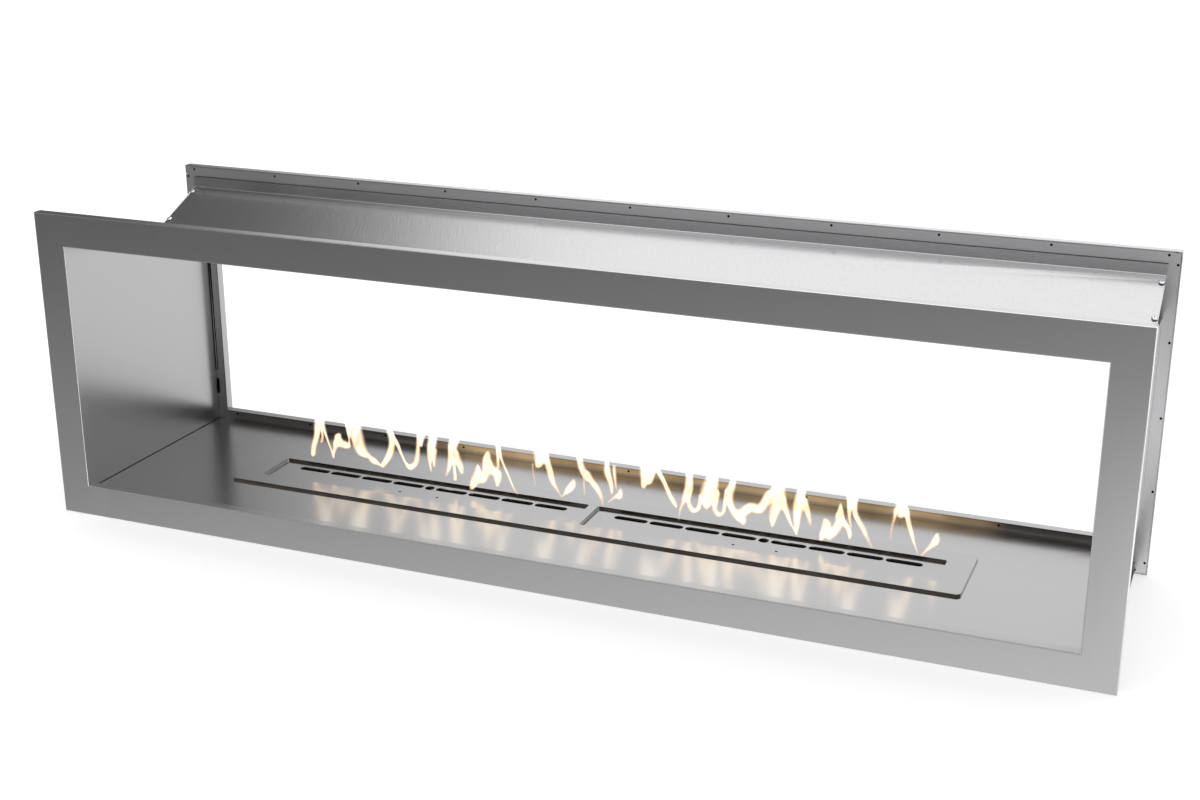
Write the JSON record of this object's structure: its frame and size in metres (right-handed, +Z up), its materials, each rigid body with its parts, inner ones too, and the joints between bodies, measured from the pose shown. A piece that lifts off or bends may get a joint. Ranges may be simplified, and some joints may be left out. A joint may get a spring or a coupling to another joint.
{
  "type": "double-sided built-in fireplace",
  "caption": "Wide see-through fireplace insert of folded steel sheet, open at the front and the rear, with slotted liquid-fuel burners in a raised floor plate.",
  "frame": {"origin": "middle of the footprint, on the lower edges of the two decorative frames", "axes": "+X to the right along the opening, -Y out of the front opening, +Z up"},
  "size_m": [1.64, 0.41, 0.49],
  "materials": {
    "brushed_frame": "brushed",
    "brushed_skin": "brushed",
    "burner_steel": "satin",
    "plain_steel": "mill",
    "screw_steel": "polished",
    "ceramic_fibre": "matte"
  },
  "bodies": {
    "firebox": {"front_fascia": "brushed_frame", "rear_fascia": "brushed_frame", "front_mounting_frame": "brushed_frame", "rear_mounting_frame": "brushed_frame", "top_hood": "brushed_skin", "hood_screw_1": "screw_steel", "hood_screw_2": "screw_steel", "hood_screw_3": "screw_steel", "hood_screw_4": "screw_steel", "hood_screw_5": "screw_steel", "hood_screw_6": "screw_steel", "hood_screw_7": "screw_steel", "hood_screw_8": "screw_steel", "inner_side_panel_left": "brushed_skin", "inner_side_panel_right": "brushed_skin", "outer_side_cover_left": "plain_steel", "outer_side_cover_right": "plain_steel", "side_insulation_left": "ceramic_fibre", "side_insulation_right": "ceramic_fibre", "base_pan": "plain_steel", "floor_plate": "brushed_skin", "floor_rail_front": "plain_steel", "floor_rail_rear": "plain_steel", "safety_tray": "plain_steel"},
    "surround": {"burner_surround": "burner_steel"},
    "burner_left": {"burner_tank_left": "plain_steel", "burner_top_left": "burner_steel", "burner_wool_left": "ceramic_fibre", "burner_mesh_left": "plain_steel"},
    "burner_right": {"burner_tank_right": "plain_steel", "burner_top_right": "burner_steel", "burner_wool_right": "ceramic_fibre", "burner_mesh_right": "plain_steel"}
  },
  "joints": [
    {"name": "surround_lift", "type": "slide", "parent": "firebox", "child": "surround", "axis": [0, 0, 1], "range_m": [0, 0.15]},
    {"name": "burner_left_lift", "type": "slide", "parent": "firebox", "child": "burner_left", "axis": [0, 0, 1], "range_m": [0, 0.2]},
    {"name": "burner_right_lift", "type": "slide", "parent": "firebox", "child": "burner_right", "axis": [0, 0, 1], "range_m": [0, 0.2]}
  ]
}
